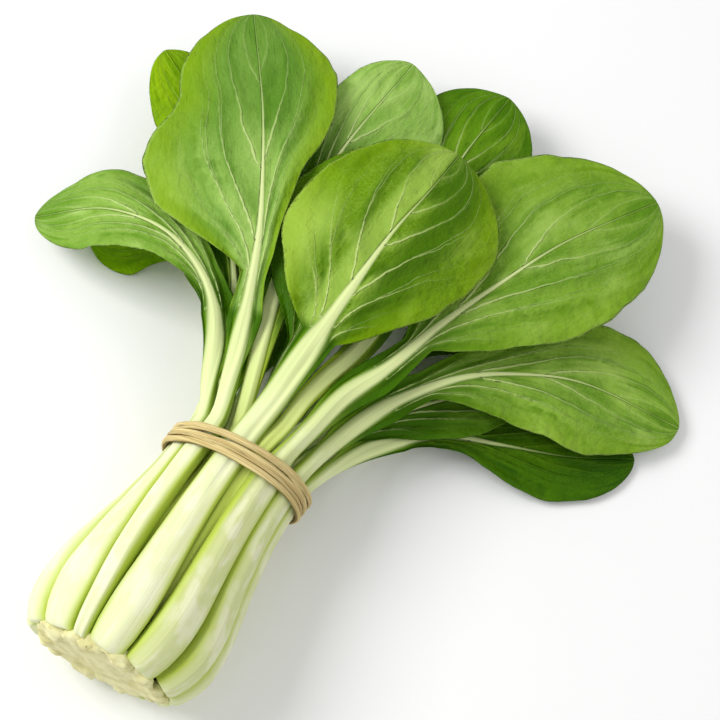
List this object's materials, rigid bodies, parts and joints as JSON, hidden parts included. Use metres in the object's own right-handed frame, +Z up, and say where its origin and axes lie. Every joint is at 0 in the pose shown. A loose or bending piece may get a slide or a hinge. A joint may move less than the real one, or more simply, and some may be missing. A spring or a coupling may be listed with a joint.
{
  "type": "bok choy head",
  "caption": "Head of bok choy lying on its side: pale broad stalks grown from a cut root base, bound by a raffia cord, with round green leaves fanned out above the tie",
  "frame": {"origin": "middle of the head's underside, on the surface it lies on", "axes": "+Y runs along the head from the cut root end to the leaf tips, +X is to the right seen from above with the root end nearest, +Z is up"},
  "size_m": [0.2614, 0.2982, 0.0664],
  "materials": {
    "outer_leaf": "satin",
    "inner_leaf": "satin",
    "root": "matte",
    "raffia": "matte"
  },
  "bodies": {
    "root": {"outer_leaf_01": "outer_leaf", "outer_leaf_02": "outer_leaf", "outer_leaf_03": "outer_leaf", "outer_leaf_04": "outer_leaf", "outer_leaf_05": "outer_leaf", "outer_leaf_06": "outer_leaf", "outer_leaf_07": "outer_leaf", "outer_leaf_08": "outer_leaf", "outer_leaf_09": "outer_leaf", "outer_leaf_10": "outer_leaf", "outer_leaf_11": "outer_leaf", "outer_leaf_12": "outer_leaf", "inner_leaf_01": "inner_leaf", "inner_leaf_02": "inner_leaf", "inner_leaf_03": "inner_leaf", "inner_leaf_04": "inner_leaf", "inner_leaf_05": "inner_leaf", "heart_leaf": "inner_leaf", "root_base": "root", "raffia_tie": "raffia"}
  },
  "joints": []
}
